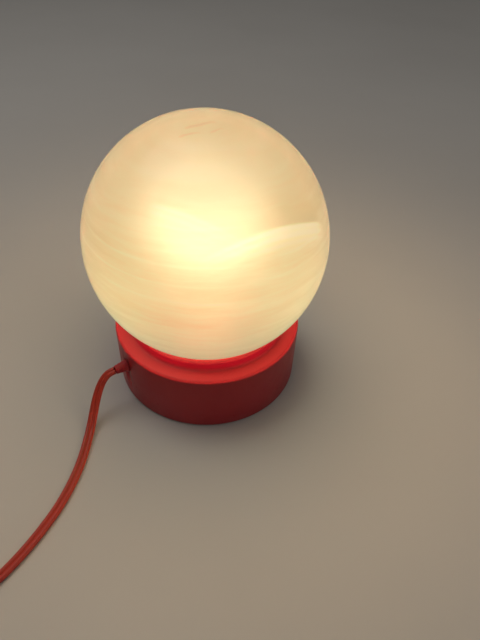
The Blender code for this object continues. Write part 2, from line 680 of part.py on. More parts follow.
def plug_body():
    """Rounded sections lofted from the cord's end to the face that carries the pins."""
    sections = [(0, 3.6, 2.4), (8, 4.2, 3.2), (15, 5.2, 4.4), (21, 8.6, 5.8), (28, 14, 6.6),
                (36, 17.4, 6.9), (45, 17.6, 6.9), (46, 16.8, 6.2)]
    points_round = 12
    roundness = 0.62
    bm = bmesh.new()
    rings = []
    for x, half_width, half_height in sections:
        ring = []
        for i in range(points_round):
            angle = 2 * math.pi * i / points_round
            side = math.copysign(abs(math.cos(angle)) ** roundness, math.cos(angle)) * half_width
            rise = math.copysign(abs(math.sin(angle)) ** roundness, math.sin(angle)) * half_height
            ring.append(bm.verts.new((x * MM, side * MM, rise * MM)))
        rings.append(ring)
    for before, after in zip(rings, rings[1:]):
        for i in range(points_round):
            j = (i + 1) % points_round
            bm.faces.new((before[i], before[j], after[j], after[i]))
    bm.faces.new(rings[0])
    bm.faces.new(rings[-1])
    finish("plug_body", transformed(bm, plug_frame()), red_cord())


def plug_pins():
    profile = [(0, 0), (PIN_RADIUS, 0), (PIN_RADIUS, PIN_LENGTH - 1.5 * MM),
               (1.2 * MM, PIN_LENGTH - 0.3 * MM), (0, PIN_LENGTH)]
    for i, side in enumerate((-1, 1)):
        start = Vector((PLUG_BODY_LENGTH + GAP, side * PIN_SPACING / 2, 0))
        bm = transformed(turned_mesh(profile, TINY_SEGMENTS), along(start, 0))
        finish(f"plug_pin_{i + 1}", transformed(bm, plug_frame()), nickel())


def build():
    clear_scene()
    base_shell()
    bottom_cover()
    cover_screws()
    feet()
    globe()
    holder_fixing()
    holder_base()
    holder_skirt()
    holder_core()
    holder_thread()
    holder_contact()
    bulb_glass()
    bulb_cap()
    bulb_foot()
    bulb_inside()
    cords()
    cord_grommet()
    switch_housing()
    switch_rocker()
    plug_body()
    plug_pins()


build()
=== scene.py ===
"""Looks for the globe table lamp: camera, studio, cord, base, lit opal globe, bulb and small parts."""
import math

import bmesh
import bpy
from mathutils import Matrix, Vector


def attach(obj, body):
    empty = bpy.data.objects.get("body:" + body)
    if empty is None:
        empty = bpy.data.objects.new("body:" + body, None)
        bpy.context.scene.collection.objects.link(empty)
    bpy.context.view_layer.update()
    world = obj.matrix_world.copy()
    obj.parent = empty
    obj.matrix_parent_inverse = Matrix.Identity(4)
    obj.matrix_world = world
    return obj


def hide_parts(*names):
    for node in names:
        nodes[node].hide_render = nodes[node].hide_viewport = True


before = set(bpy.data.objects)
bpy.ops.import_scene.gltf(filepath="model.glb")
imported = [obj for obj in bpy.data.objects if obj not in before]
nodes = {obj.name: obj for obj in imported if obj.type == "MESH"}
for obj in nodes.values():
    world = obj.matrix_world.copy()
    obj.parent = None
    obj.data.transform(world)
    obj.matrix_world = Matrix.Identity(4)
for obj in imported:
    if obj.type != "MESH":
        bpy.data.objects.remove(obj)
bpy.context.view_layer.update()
MM = 0.001
THREAD_PITCH = 3.63         # of the bulb's screw cap, in millimetres; so are all the sizes below


def add_object(name, data):
    obj = bpy.data.objects.new(name, data)
    bpy.context.scene.collection.objects.link(obj)
    return obj


# ---------------------------------------------------------------- camera

CAMERA_PLACE = (0, -0.2742, 0.2877)
CAMERA_LENS = 29.5
CAMERA_YAW = math.radians(4.77)
CAMERA_PITCH = math.radians(42.3)
CAMERA_ROLL = math.radians(2.69)


def add_camera():
    """A hand-held view from the front and above, turned a little and tilted a little."""
    yaw, pitch, roll = CAMERA_YAW, CAMERA_PITCH, CAMERA_ROLL
    forward = Vector((math.sin(yaw) * math.cos(pitch), math.cos(yaw) * math.cos(pitch), -math.sin(pitch)))
    level = Vector((math.cos(yaw), -math.sin(yaw), 0))
    upright = level.cross(forward)
    right = level * math.cos(roll) + upright * math.sin(roll)
    up = upright * math.cos(roll) - level * math.sin(roll)
    data = bpy.data.cameras.new("camera")
    data.lens = CAMERA_LENS
    data.clip_start = 0.01
    camera = add_object("camera", data)
    turn = Matrix((right, up, -forward)).transposed()
    camera.matrix_world = Matrix.Translation(CAMERA_PLACE) @ turn.to_4x4()
    bpy.context.scene.camera = camera


add_camera()


# ---------------------------------------------------------------- mesh helpers

def mesh_object(name, bm, stuff, smooth_angle=40):
    bmesh.ops.remove_doubles(bm, verts=bm.verts, dist=1e-7)
    bmesh.ops.recalc_face_normals(bm, faces=bm.faces)
    mesh = bpy.data.meshes.new(name)
    bm.to_mesh(mesh)
    bm.free()
    mesh.shade_smooth()
    mesh.set_sharp_from_angle(angle=math.radians(smooth_angle))
    mesh.materials.append(stuff)
    return add_object(name, mesh)


def place(obj, body, slot_name, *replaced):
    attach(obj, body)
    if replaced:
        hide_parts(*replaced)
    return obj


def arc(centre_r, centre_z, radius, start, end, steps):
    points = []
    for i in range(steps + 1):
        angle = math.radians(start + (end - start) * i / steps)
        points.append((centre_r + radius * math.cos(angle), centre_z + radius * math.sin(angle)))
    return points


def lathe(profile, segments=96, centre=(0, 0)):
    """Turn a closed profile about a vertical axis; profile and centre are in millimetres.

    A profile point is (radius, height), or (radius, height, depth of a screw thread).
    """
    bm = bmesh.new()
    rings = []
    for r, z, *depth in profile:
        if abs(r) < 1e-7:
            rings.append([bm.verts.new((centre[0] * MM, centre[1] * MM, z * MM))])
            continue
        ring = []
        for i in range(segments):
            angle = 2 * math.pi * i / segments
            reach = r + (depth[0] * math.cos(2 * math.pi * z / THREAD_PITCH - angle) if depth else 0)
            ring.append(bm.verts.new(((centre[0] + reach * math.cos(angle)) * MM,
                                      (centre[1] + reach * math.sin(angle)) * MM, z * MM)))
        rings.append(ring)
    for here, there in zip(rings, rings[1:] + rings[:1]):
        if len(here) == 1 and len(there) == 1:
            continue
        for i in range(segments):
            j = (i + 1) % segments
            corners = [here[i % len(here)], here[j % len(here)], there[j % len(there)], there[i % len(there)]]
            unique = list(dict.fromkeys(corners))
            if len(unique) > 2:
                bm.faces.new(unique)
    return bm


def loft(rings, closed=False):
    """Skin a list of rings of points; a closed loft joins the last ring to the first."""
    bm = bmesh.new()
    made = [[bm.verts.new(p) for p in ring] for ring in rings]
    count = len(made[0])
    for here, there in zip(made, made[1:] + made[:1] if closed else made[1:]):
        for i in range(count):
            j = (i + 1) % count
            bm.faces.new((here[i], here[j], there[j], there[i]))
    if not closed:
        bm.faces.new(made[0])
        bm.faces.new(made[-1])
    return bm


def transformed(bm, matrix):
    bmesh.ops.transform(bm, matrix=matrix, verts=bm.verts)
    return bm


def along(start, azimuth):
    """Matrix that lays a piece turned about +Z down, its axis pointing along azimuth."""
    return (Matrix.Translation(start) @ Matrix.Rotation(azimuth, 4, "Z")
            @ Matrix.Rotation(math.radians(90), 4, "Y"))


def polar(radius, azimuth, z=0.0):
    return Vector((radius * math.cos(azimuth), radius * math.sin(azimuth), z))


def ease(value, low, high):
    """0 before low, 1 after high, smooth in between."""
    share = min(1.0, max(0.0, (value - low) / (high - low)))
    return share * share * (3 - 2 * share)


# ---------------------------------------------------------------- material helpers

class Maker:
    """Builds one Principled material with a few procedural nodes."""

    def __init__(self, name, colour, roughness, metallic=0.0):
        self.material = bpy.data.materials.new(name)
        self.material.use_nodes = True
        self.tree = self.material.node_tree
        self.shader = self.tree.nodes["Principled BSDF"]
        self.shader.inputs["Base Color"].default_value = (*colour, 1.0)
        self.shader.inputs["Roughness"].default_value = roughness
        self.shader.inputs["Metallic"].default_value = metallic
        self.coords = self.node("ShaderNodeTexCoord").outputs["Object"]

    def node(self, kind, **settings):
        made = self.tree.nodes.new(kind)
        for key, value in settings.items():
            setattr(made, key, value)
        return made

    def link(self, output, target):
        self.tree.links.new(output, target)

    def mapped(self, scale, rotation=(0, 0, 0)):
        mapping = self.node("ShaderNodeMapping")
        mapping.inputs["Scale"].default_value = scale
        mapping.inputs["Rotation"].default_value = rotation
        self.link(self.coords, mapping.inputs["Vector"])
        return mapping.outputs["Vector"]

    def noise(self, scale, detail=3.0, rough=0.5, distortion=0.0, vector=None):
        made = self.node("ShaderNodeTexNoise")
        made.inputs["Scale"].default_value = scale
        made.inputs["Detail"].default_value = detail
        made.inputs["Roughness"].default_value = rough
        made.inputs["Distortion"].default_value = distortion
        self.link(vector or self.coords, made.inputs["Vector"])
        return made.outputs["Fac"]

    def remap(self, value, low, high, to_low, to_high):
        made = self.node("ShaderNodeMapRange")
        made.inputs["From Min"].default_value = low
        made.inputs["From Max"].default_value = high
        made.inputs["To Min"].default_value = to_low
        made.inputs["To Max"].default_value = to_high
        self.link(value, made.inputs["Value"])
        return made.outputs["Result"]

    def varied(self, low, high, *noise_settings):
        """Noise whose usual values run from low to high."""
        return self.remap(self.noise(*noise_settings), 0.3, 0.7, low, high)

    def math(self, operation, first, second):
        made = self.node("ShaderNodeMath", operation=operation)
        for socket, value in zip(made.inputs, (first, second)):
            if isinstance(value, (int, float)):
                socket.default_value = value
            else:
                self.link(value, socket)
        return made.outputs["Value"]

    def product(self, first, *others):
        for other in others:
            first = self.math("MULTIPLY", first, other)
        return first

    def dot(self, vector, direction):
        made = self.node("ShaderNodeVectorMath", operation="DOT_PRODUCT")
        self.link(vector, made.inputs[0])
        made.inputs[1].default_value = direction
        return made.outputs["Value"]

    def split(self, vector):
        made = self.node("ShaderNodeSeparateXYZ")
        self.link(vector, made.inputs["Vector"])
        return made.outputs

    def mix(self, share, first, second):
        made = self.node("ShaderNodeMix", data_type="RGBA")
        for socket, value in ((made.inputs[0], share), (made.inputs[6], first), (made.inputs[7], second)):
            if isinstance(value, (int, float)):
                socket.default_value = value
            elif isinstance(value, tuple):
                socket.default_value = (*value, 1.0)
            else:
                self.link(value, socket)
        return made.outputs[2]

    def bump(self, height, strength, distance, after=None):
        made = self.node("ShaderNodeBump")
        made.inputs["Strength"].default_value = strength
        made.inputs["Distance"].default_value = distance
        self.link(height, made.inputs["Height"])
        if after:
            self.link(after, made.inputs["Normal"])
        self.link(made.outputs["Normal"], self.shader.inputs["Normal"])
        return made.outputs["Normal"]

    def set(self, **values):
        for key, value in values.items():
            self.shader.inputs[key.replace("_", " ")].default_value = value
        return self

    def feed(self, output, socket):
        self.link(output, self.shader.inputs[socket])


def moulded_plastic(name, light, dark, roughness, grain=0.05):
    """Moulded plastic: slow colour drift, handled satin patches, fine orange-peel and rare scratches."""
    made = Maker(name, light, roughness)
    drift = made.noise(18, 4, 0.55)
    made.feed(made.mix(made.remap(drift, 0.35, 0.7, 0, 1), light, dark), "Base Color")
    patches = made.noise(45, 5, 0.6, 0.4)
    scratches = made.noise(60, 2, 0.5, 0.0, made.mapped((1, 14, 3), (0.3, 0.5, 0.2)))
    worn = made.math("ADD", made.remap(patches, 0.3, 0.7, roughness - 0.05, roughness + 0.07),
                     made.remap(scratches, 0.62, 0.75, 0, 0.10))
    made.feed(worn, "Roughness")
    peel = made.bump(made.noise(900, 2, 0.5), grain, 0.00012)
    made.bump(scratches, 0.04, 0.0002, peel)
    return made


def metal(name, light, dark, roughness, stretch=(1, 1, 30)):
    """Turned or plated metal with fine tool lines and dull patches."""
    made = Maker(name, light, roughness, 1.0)
    patches = made.noise(160, 5, 0.6)
    lines = made.noise(300, 3, 0.5, 0.0, made.mapped(stretch))
    made.feed(made.mix(made.remap(patches, 0.4, 0.75, 0, 1), light, dark), "Base Color")
    made.feed(made.remap(lines, 0.3, 0.7, roughness - 0.06, roughness + 0.12), "Roughness")
    made.bump(lines, 0.12, 0.0001)
    return made.material


def rubber_material(name, colour, roughness):
    made = Maker(name, colour, roughness)
    dust = made.noise(120, 6, 0.7)
    lighter = tuple(min(1.0, c * 1.6 + 0.02) for c in colour)
    made.feed(made.mix(made.remap(dust, 0.5, 0.8, 0, 0.6), colour, lighter), "Base Color")
    made.bump(made.noise(1500, 2, 0.6), 0.15, 0.0001)
    return made.material


# ---------------------------------------------------------------- cord

# Where the cord runs, in millimetres; the same route as the CAD cord.
LEAD_ROUTE = [(-61.3, -38.3, 28.5), (-65.6, -40.3, 27.2), (-69.3, -43, 23.2), (-72, -46.6, 18),
              (-73.9, -51, 12.8), (-75.2, -56.6, 8), (-76.2, -63.6, 4.2), (-77.1, -72.5, 2.2),
              (-78.2, -84.4, 1.6), (-79.8, -95.4, 1.6), (-82.6, -107, 1.6), (-86.4, -118.4, 1.6),
              (-91.4, -129.4, 1.6), (-97.4, -140.4, 1.6), (-103.6, -149.9, 1.6), (-110, -158, 1.6),
              (-118, -164.8, 1.8), (-127, -168.4, 3.2), (-134, -169, 5), (-139.7, -169, 6)]
LINK_ROUTE = [(-200.3, -169, 6), (-206, -168.7, 4.6), (-215, -166, 2.4), (-226, -159, 1.7),
              (-235, -147, 1.9), (-240.6, -133, 2.6), (-243, -119, 3.1)]
TAIL_ROUTE = [(-243, -90, 9.4), (-242.4, -78, 7.6), (-240.6, -64, 3.8), (-237.6, -48, 1.9),
              (-234.6, -32, 3), (-232.6, -20, 6), (-231.5, -12.3, 7.3)]
COIL_CENTRE = (-199, -104)
COIL_RADII = (39.2, 35.9, 32.6)
COIL_LAYERS = (3.2, 9.4)
COIL_TURNS = 6.1
CORE_RADIUS = 1.5
CORE_SPACING = 1.45         # half the distance between the two cores
WEB_HALF_HEIGHT = 0.8
CORD_STEP = 2.4
TAIL_POINTS = 45            # how many of the cord's last points belong to its tail


def coil_points():
    """Three turns inwards on the lower layer, then three outwards on the upper one."""
    centre = Vector(COIL_CENTRE)
    first = Vector(LINK_ROUTE[-1][:2]) - centre
    last = Vector(TAIL_ROUTE[0][:2]) - centre
    start_angle = math.atan2(first.y, first.x)
    end_angle = math.atan2(last.y, last.x) - 2 * math.pi
    total = 6 * 2 * math.pi - (end_angle - start_angle) % (-2 * math.pi)
    outer, middle, inner = COIL_RADII
    steps = 150
    points = []
    for i in range(1, steps):
        turn = COIL_TURNS * i / steps
        radius = first.length + (outer - first.length) * ease(turn, 0, 0.14)
        radius += (middle - outer) * ease(turn, 0.9, 1) + (inner - middle) * ease(turn, 1.9, 2)
        radius += (middle - inner) * ease(turn, 3.8, 3.9) + (outer - middle) * ease(turn, 4.8, 4.9)
        radius += (last.length - outer) * ease(turn, 5.8, COIL_TURNS)
        z = COIL_LAYERS[0] + (COIL_LAYERS[1] - COIL_LAYERS[0]) * ease(turn, 2.88, 3.0)
        angle = start_angle - total * i / steps
        points.append((centre.x + radius * math.cos(angle), centre.y + radius * math.sin(angle), z))
    return points


def smooth_route(points, spacing):
    """Catmull-Rom curve through the route's points, sampled at an even spacing, in metres."""
    route = [Vector(p) * MM for p in points]
    route = [2 * route[0] - route[1]] + route + [2 * route[-1] - route[-2]]
    dense = []
    for i in range(1, len(route) - 2):
        a, b, c, d = route[i - 1:i + 3]
        for step in range(16):
            t = step / 16
            dense.append(0.5 * (2 * b + (c - a) * t + (2 * a - 5 * b + 4 * c - d) * t ** 2
                                + (3 * b - a - 3 * c + d) * t ** 3))
    dense.append(route[-2])
    lengths = [0.0]
    for before, after in zip(dense, dense[1:]):
        lengths.append(lengths[-1] + (after - before).length)
    count = round(lengths[-1] / spacing)
    even = []
    reached = 0
    for i in range(count + 1):
        wanted = lengths[-1] * i / count
        while reached < len(dense) - 2 and lengths[reached + 1] < wanted:
            reached += 1
        share = (wanted - lengths[reached]) / (lengths[reached + 1] - lengths[reached])
        even.append(dense[reached].lerp(dense[reached + 1], share))
    return even


def cord_section():
    """The flat cord's outline: two round cores with a thin web between them."""
    lobe = []
    for i in range(11):
        angle = math.radians(-125 + 250 * i / 10)
        lobe.append((CORE_SPACING + CORE_RADIUS * math.cos(angle), CORE_RADIUS * math.sin(angle)))
    mirrored = [(-x, -y) for x, y in lobe]
    return lobe + [(0, WEB_HALF_HEIGHT)] + mirrored + [(0, -WEB_HALF_HEIGHT)]


def tangent_at(points, i):
    return (points[min(i + 1, len(points) - 1)] - points[max(i - 1, 0)]).normalized()


def sweep_flat(points, edge_shares):
    """Sweep the cord's section along the points; an edge share is 1 where it stands on edge."""
    section = cord_section()
    rings = []
    for i, point in enumerate(points):
        tangent = tangent_at(points, i)
        flat = Vector((0, 0, 1)).cross(tangent).normalized()
        upright = tangent.cross(flat).normalized()
        turn = edge_shares[i] * math.pi / 2
        wide = flat * math.cos(turn) + upright * math.sin(turn)
        thick = tangent.cross(wide)
        rings.append([point + (wide * x + thick * y) * MM for x, y in section])
    return loft(rings)


def cord_material():
    """Flexible red PVC: semi-gloss, with a faint extruded grain."""
    made = Maker("red_flexible_pvc", (0.44, 0.036, 0.015), 0.34)
    drift = made.noise(12, 2, 0.5)
    made.feed(made.mix(made.remap(drift, 0.3, 0.75, 0, 1), (0.44, 0.036, 0.015), (0.39, 0.030, 0.013)),
              "Base Color")
    made.feed(made.varied(0.32, 0.38, 60, 2, 0.5), "Roughness")
    made.bump(made.noise(500, 2, 0.5), 0.015, 0.0001)
    return made.material


red_pvc = cord_material()


def add_cord():
    """The cord lies flat up to the switch and in its tail, and stands on edge in its coil."""
    line = smooth_route(LEAD_ROUTE + LINK_ROUTE + coil_points() + TAIL_ROUTE, CORD_STEP * MM)
    switch_end = LINK_ROUTE[0][0] * MM
    passed = next(i for i, p in enumerate(line) if p.x < switch_end)
    coil_starts = next(i for i, p in enumerate(line) if i > passed and p.y > LINK_ROUTE[-1][1] * MM)
    tail_starts = len(line) - TAIL_POINTS
    shares = []
    for i, point in enumerate(line):
        if i < passed:
            shares.append(0.0)
        elif i < coil_starts:
            shares.append(ease(point.y, -0.164, -0.130))
        elif i < tail_starts:
            shares.append(1.0)
        else:
            shares.append(1 - ease(point.y, -0.092, -0.046))
        half_height = (CORE_RADIUS + CORE_SPACING * math.sin(shares[-1] * math.pi / 2)) * MM
        point.z = max(point.z, half_height + 0.1 * MM)
    cord = mesh_object("power_cord", sweep_flat(line, shares), red_pvc, 60)
    place(cord, "base", "cord_pvc", "cord_lead", "cord_link", "cord_coil", "cord_tail")
    return cord, line


power_cord, cord_line = add_cord()


# ---------------------------------------------------------------- small pieces on the cord

EXIT_AZIMUTH = math.radians(-148)
EXIT_Z = 28.5
BASE_RADIUS = 63.4
GROMMET_START = 52
GROMMET_END = 72
SWITCH_CENTRE = (-170, -169)
SWITCH_TURN = Matrix.Translation((SWITCH_CENTRE[0] * MM, SWITCH_CENTRE[1] * MM, 0))
ROCKER_PIVOT = 11.5
ROCKER_REST_TILT = math.radians(8)
PLUG_ENTRY = (-231.5, -12, 7.3)
PLUG_AZIMUTH = math.radians(80)


def add_bevel(obj, width, segments=3):
    modifier = obj.modifiers.new("bevel", "BEVEL")
    modifier.width = width * MM
    modifier.segments = segments
    modifier.limit_method = "ANGLE"
    modifier.angle_limit = math.radians(35)
    modifier.harden_normals = True
    return obj


def cut(obj, bm, matrix=Matrix()):
    """Take a closed shape, moved by the matrix, out of a piece for good."""
    tool = mesh_object("tool", transformed(bm, matrix), None)
    modifier = obj.modifiers.new("cut", "BOOLEAN")
    modifier.operation = "DIFFERENCE"
    modifier.solver = "EXACT"
    modifier.object = tool
    bpy.context.view_layer.update()
    evaluated = obj.evaluated_get(bpy.context.evaluated_depsgraph_get())
    mesh = bpy.data.meshes.new_from_object(evaluated)
    obj.modifiers.clear()
    obj.data = mesh
    bpy.data.objects.remove(tool)
    return obj


def prism(outline, low, high):
    return loft([[(x * MM, y * MM, z * MM) for x, y in outline] for z in (low, high)])


def rounded_rectangle(length, width, radius, steps=8):
    points = []
    for side_x, side_y, start in ((1, 1, 0), (-1, 1, 90), (-1, -1, 180), (1, -1, 270)):
        points += arc(side_x * (length / 2 - radius), side_y * (width / 2 - radius), radius,
                      start, start + 90, steps)
    return points


def box_mesh(low, high):
    outline = [(low[0], low[1]), (high[0], low[1]), (high[0], high[1]), (low[0], high[1])]
    return prism(outline, low[2], high[2])


def cut_cross(screw, spot, reach, half_width, depth, matrix=Matrix()):
    """Cut a cross slot up into a screw head."""
    for x, y in ((reach, half_width), (half_width, reach)):
        cut(screw, box_mesh((spot[0] - x, spot[1] - y, 0), (spot[0] + x, spot[1] + y, depth)), matrix)


def add_grommet(stuff):
    """Tapered bushing with moulded rings, gripping the cord in the base's wall."""
    wall_out = BASE_RADIUS - GROMMET_START
    wall_in = wall_out - 2.5
    end = GROMMET_END - GROMMET_START
    profile = [(1.9, 0), (4, 0), (5.2, 1), (5.4, wall_in - 1), (4.2, wall_in - 0.6), (4.2, wall_out + 0.2)]
    profile += [(4.6, wall_out + 0.25)] + arc(4.2, wall_out + 0.7, 0.4, 0, 90, 4)
    for i in range(3):
        at = wall_out + 1.8 + 2.2 * i
        reach = 3.7 - 0.3 * i
        profile += [(reach, at), (reach - 0.06, at + 1.3), (reach - 0.3, at + 1.45), (reach - 0.3, at + 1.9)]
    profile += [(2.75, end - 0.3), (2.5, end), (1.9, end - 0.2)]
    bm = lathe(profile, 40)
    start = polar(GROMMET_START * MM, EXIT_AZIMUTH, EXIT_Z * MM)
    piece = mesh_object("cord_bushing", transformed(bm, along(start, EXIT_AZIMUTH)), stuff, 50)
    return place(piece, "base", "base_plastic", "cord_grommet")


def rounded_block(name, outline, levels, stuff):
    """Stack of scaled outlines; levels are (height, how far the outline is drawn in)."""
    half_length = max(x for x, y in outline)
    half_width = max(y for x, y in outline)
    rings = []
    for z, drawn in levels:
        grow_x = (half_length - drawn) / half_length
        grow_y = (half_width - drawn) / half_width
        rings.append([(x * grow_x * MM, y * grow_y * MM, z * MM) for x, y in outline])
    return mesh_object(name, transformed(loft(rings), SWITCH_TURN), stuff, 30)


def add_switch(housing, rocker_stuff, screw_stuff):
    """Two halves round the cord, with a window for the rocker, grip grooves and two screws."""
    outline = rounded_rectangle(60, 24, 10, 10)
    lower_levels = [(0.2, 1.6), (0.4, 1.0), (0.9, 0.4), (1.6, 0.1), (2.4, 0), (7.2, 0), (7.4, 0.2)]
    upper_levels = [(7.7, 0.2), (7.9, 0), (11.4, 0), (12.9, 0.3), (14.0, 1.0), (14.7, 2.0), (15.0, 3.4)]
    lower = rounded_block("switch_bottom_half", outline, lower_levels, housing)
    upper = rounded_block("switch_top_half", outline, upper_levels, housing)
    pocket = rounded_rectangle(30, 16, 2, 4)
    cut(lower, prism(pocket, 2.4, 9), SWITCH_TURN)
    cut(upper, prism(pocket, 5, 13), SWITCH_TURN)
    cut(upper, prism(rounded_rectangle(20, 11, 1.2, 5), 10, 18), SWITCH_TURN)
    cut(upper, prism(rounded_rectangle(22.4, 13.4, 2.2, 6), 14.5, 18), SWITCH_TURN)
    for half in (lower, upper):
        channel = lathe([(0, -40), (3.3, -40), (3.3, 40), (0, 40)], 32)
        cut(half, channel, SWITCH_TURN @ along((0, 0, 6 * MM), 0))
    for side in (-1, 1):
        for i in range(4):
            x = side * (17 + 2.6 * i)
            cut(upper, box_mesh((x - 0.5, -6.5, 14.3), (x + 0.5, 6.5, 18)), SWITCH_TURN)
    made = [place(lower, "base", "switch_plastic", "switch_lower"),
            place(upper, "base", "switch_plastic", "switch_upper")]
    hole = [(0, -1), (2.5, -1), (2.5, 2.6), (1.3, 2.6), (1.3, 6.9), (0, 6.9)]
    screw = [(0, 1.3), (1.6, 1.2), (2.1, 1.6), (2.1, 2.3), (1.0, 2.3), (1.0, 6.4), (0, 6.4)]
    for i, side in enumerate((-1, 1)):
        spot = (side * 22, side * 7.4)
        cut(lower, lathe(hole, 32, spot), SWITCH_TURN)
        body = transformed(lathe(screw, 32, spot), SWITCH_TURN)
        head = mesh_object(f"switch_fixing_screw_{i + 1}", body, screw_stuff)
        cut_cross(head, spot, 1.5, 0.3, 1.9, SWITCH_TURN)
        made.append(place(head, "base", "steel", f"switch_screw_{i + 1}"))
    return made + [add_rocker(rocker_stuff)]


def add_rocker(stuff):
    """Rocker seen from the side: a dished top with grip ridges towards both ends."""
    half = 8.7
    top = []
    for i in range(25):
        x = -half + 2 * half * i / 24
        ridge = 0.22 * max(0.0, math.sin(x * 2.4)) if 2.6 < abs(x) < 7.6 else 0.0
        top.append((x, 3.9 + 0.95 * (x / half) ** 2 + ridge))
    outline = [(-half, -0.8)] + top + [(half, -0.8)] + arc(0, -0.6, 3.6, -30, -150, 8)
    bm = prism(outline, -4.7, 4.7)
    tilt = Matrix.Rotation(ROCKER_REST_TILT, 4, "Y")
    stand = Matrix.Translation((0, 0, ROCKER_PIVOT * MM))
    transformed(bm, SWITCH_TURN @ stand @ tilt @ Matrix.Rotation(math.radians(90), 4, "X"))
    rocker = add_bevel(mesh_object("rocker_key", bm, stuff, 30), 0.35)
    return place(rocker, "rocker", "rocker_plastic", "switch_rocker")


def plug_frame():
    entry = Vector(PLUG_ENTRY) * MM
    return Matrix.Translation(entry) @ Matrix.Rotation(PLUG_AZIMUTH, 4, "Z")


def add_plug(body_stuff, pin_stuff, sleeve_stuff):
    """Flat moulded plug: ringed neck, waisted grip with ribs, and a plain face with two pins."""
    stations = [(0, 3.4, 2.2), (7, 4.0, 3.0), (14, 4.8, 4.0), (19, 7.2, 5.4), (24, 11.2, 6.3),
                (30, 15.4, 6.7), (36, 17.2, 6.85), (43, 17.5, 6.85), (45.2, 17.2, 6.6), (45.8, 16.7, 6.2),
                (46, 16.0, 5.6)]
    rings = []
    steps = 4
    for here, there in zip(stations, stations[1:]):
        for step in range(steps):
            t = step / steps
            x, half_width, half_height = (a + (b - a) * t for a, b in zip(here, there))
            if 1.5 < x < 15:
                pinch = 0.55 * (0.5 - 0.5 * math.cos(2 * math.pi * x / 2.7))
                half_width -= pinch
                half_height -= pinch * 0.7
            if 26 < x < 38:
                half_width -= 0.5 * (0.5 - 0.5 * math.cos(2 * math.pi * x / 2.4))
            rings.append((x, half_width, half_height))
    rings.append(stations[-1])
    points = []
    for x, half_width, half_height in rings:
        ring = []
        for i in range(48):
            angle = 2 * math.pi * i / 48
            side = math.copysign(abs(math.cos(angle)) ** 0.62, math.cos(angle)) * half_width
            rise = math.copysign(abs(math.sin(angle)) ** 0.62, math.sin(angle)) * half_height
            ring.append((x * MM, side * MM, rise * MM))
        points.append(ring)
    body = mesh_object("plug_moulding", transformed(loft(points), plug_frame()), body_stuff, 50)
    made = [place(body, "base", "plug_pvc", "plug_body")]
    pin = [(0, 0.2), (2, 0.2), (2, 17.4)] + arc(1.2, 18.2, 0.8, 0, 90, 4) + [(0, 19)]
    sleeve = [(2.02, 0.15), (2.28, 0.15), (2.28, 9.6), (2.02, 10)]
    for i, side in enumerate((-1, 1)):
        root = plug_frame() @ along((46 * MM, side * 9.3 * MM, 0), 0)
        metal_pin = mesh_object(f"contact_pin_{i + 1}", transformed(lathe(pin, 32), root), pin_stuff)
        cover = mesh_object(f"pin_sleeve_{i + 1}", transformed(lathe(sleeve, 32), root), sleeve_stuff)
        made.append(place(metal_pin, "base", "pin_metal", f"plug_pin_{i + 1}"))
        made.append(place(cover, "base", "plug_pvc"))
    return made


def painted_collar_glow(made):
    """Painted light: the thin collar lets some of the bulb's light through, painted as a patchy deep red
    emission on the base in a band about 43 to 50 mm high, the collar's wall.
    """
    z = made.split(made.coords)["Z"]
    rise = made.remap(z, 0.0432, 0.0456, 0, 1)
    fall = made.remap(z, 0.0486, 0.0497, 1, 0)
    patches = made.varied(0.22, 0.30, 50, 3, 0.5)
    made.feed(made.product(rise, fall, patches), "Emission Strength")
    return made.set(Emission_Color=(1.0, 0.006, 0.03, 1.0)).material


RED_LIGHT = (0.44, 0.024, 0.030)
RED_DARK = (0.39, 0.019, 0.026)
CREAM_LIGHT = (0.72, 0.67, 0.56)
CREAM_DARK = (0.66, 0.60, 0.49)
BLACK = (0.022, 0.022, 0.024)
BLACK_WORN = (0.035, 0.034, 0.033)
CERAMIC_LIGHT = (0.78, 0.76, 0.70)
CERAMIC_DARK = (0.70, 0.67, 0.60)

red_maker = moulded_plastic("red_moulded_plastic", RED_LIGHT, RED_DARK, 0.40)
red_plastic = red_maker.set(Specular_IOR_Level=0.32).material
base_maker = moulded_plastic("red_base_plastic", RED_LIGHT, RED_DARK, 0.40)
# The base's material carries the collar's painted red glow.
base_plastic = painted_collar_glow(base_maker.set(Specular_IOR_Level=0.30))
cream_plastic = moulded_plastic("cream_moulded_plastic", CREAM_LIGHT, CREAM_DARK, 0.42).material
black_plastic = moulded_plastic("black_moulded_plastic", BLACK, BLACK_WORN, 0.45, 0.12).material
ceramic = moulded_plastic("unglazed_ceramic", CERAMIC_LIGHT, CERAMIC_DARK, 0.6, 0.2).material
brass = metal("brass", (0.72, 0.50, 0.20), (0.50, 0.34, 0.14), 0.28)
nickel = metal("nickel_plate", (0.72, 0.70, 0.66), (0.55, 0.53, 0.50), 0.24)
steel = metal("zinc_plated_steel", (0.60, 0.60, 0.58), (0.42, 0.42, 0.41), 0.34)
foot_rubber = rubber_material("foot_rubber", (0.028, 0.028, 0.028), 0.8)

cord_pieces = [add_grommet(red_plastic)]
cord_pieces += add_switch(cream_plastic, black_plastic, steel)
cord_pieces += add_plug(red_pvc, nickel, black_plastic)


# ---------------------------------------------------------------- base

GLOBE_RADIUS = 75
GLOBE_WALL = 3
GLOBE_CENTRE = 106
RIM_Z = 43.4
COLLAR_RADIUS = 52.9
COLLAR_TOP = 49.6
WELL_RADIUS = 48.6
LEDGE_Z = 34
PAN_RADIUS = 30
PAN_Z = 27
BOSS_CIRCLE = 44
FOOT_CIRCLE = 50


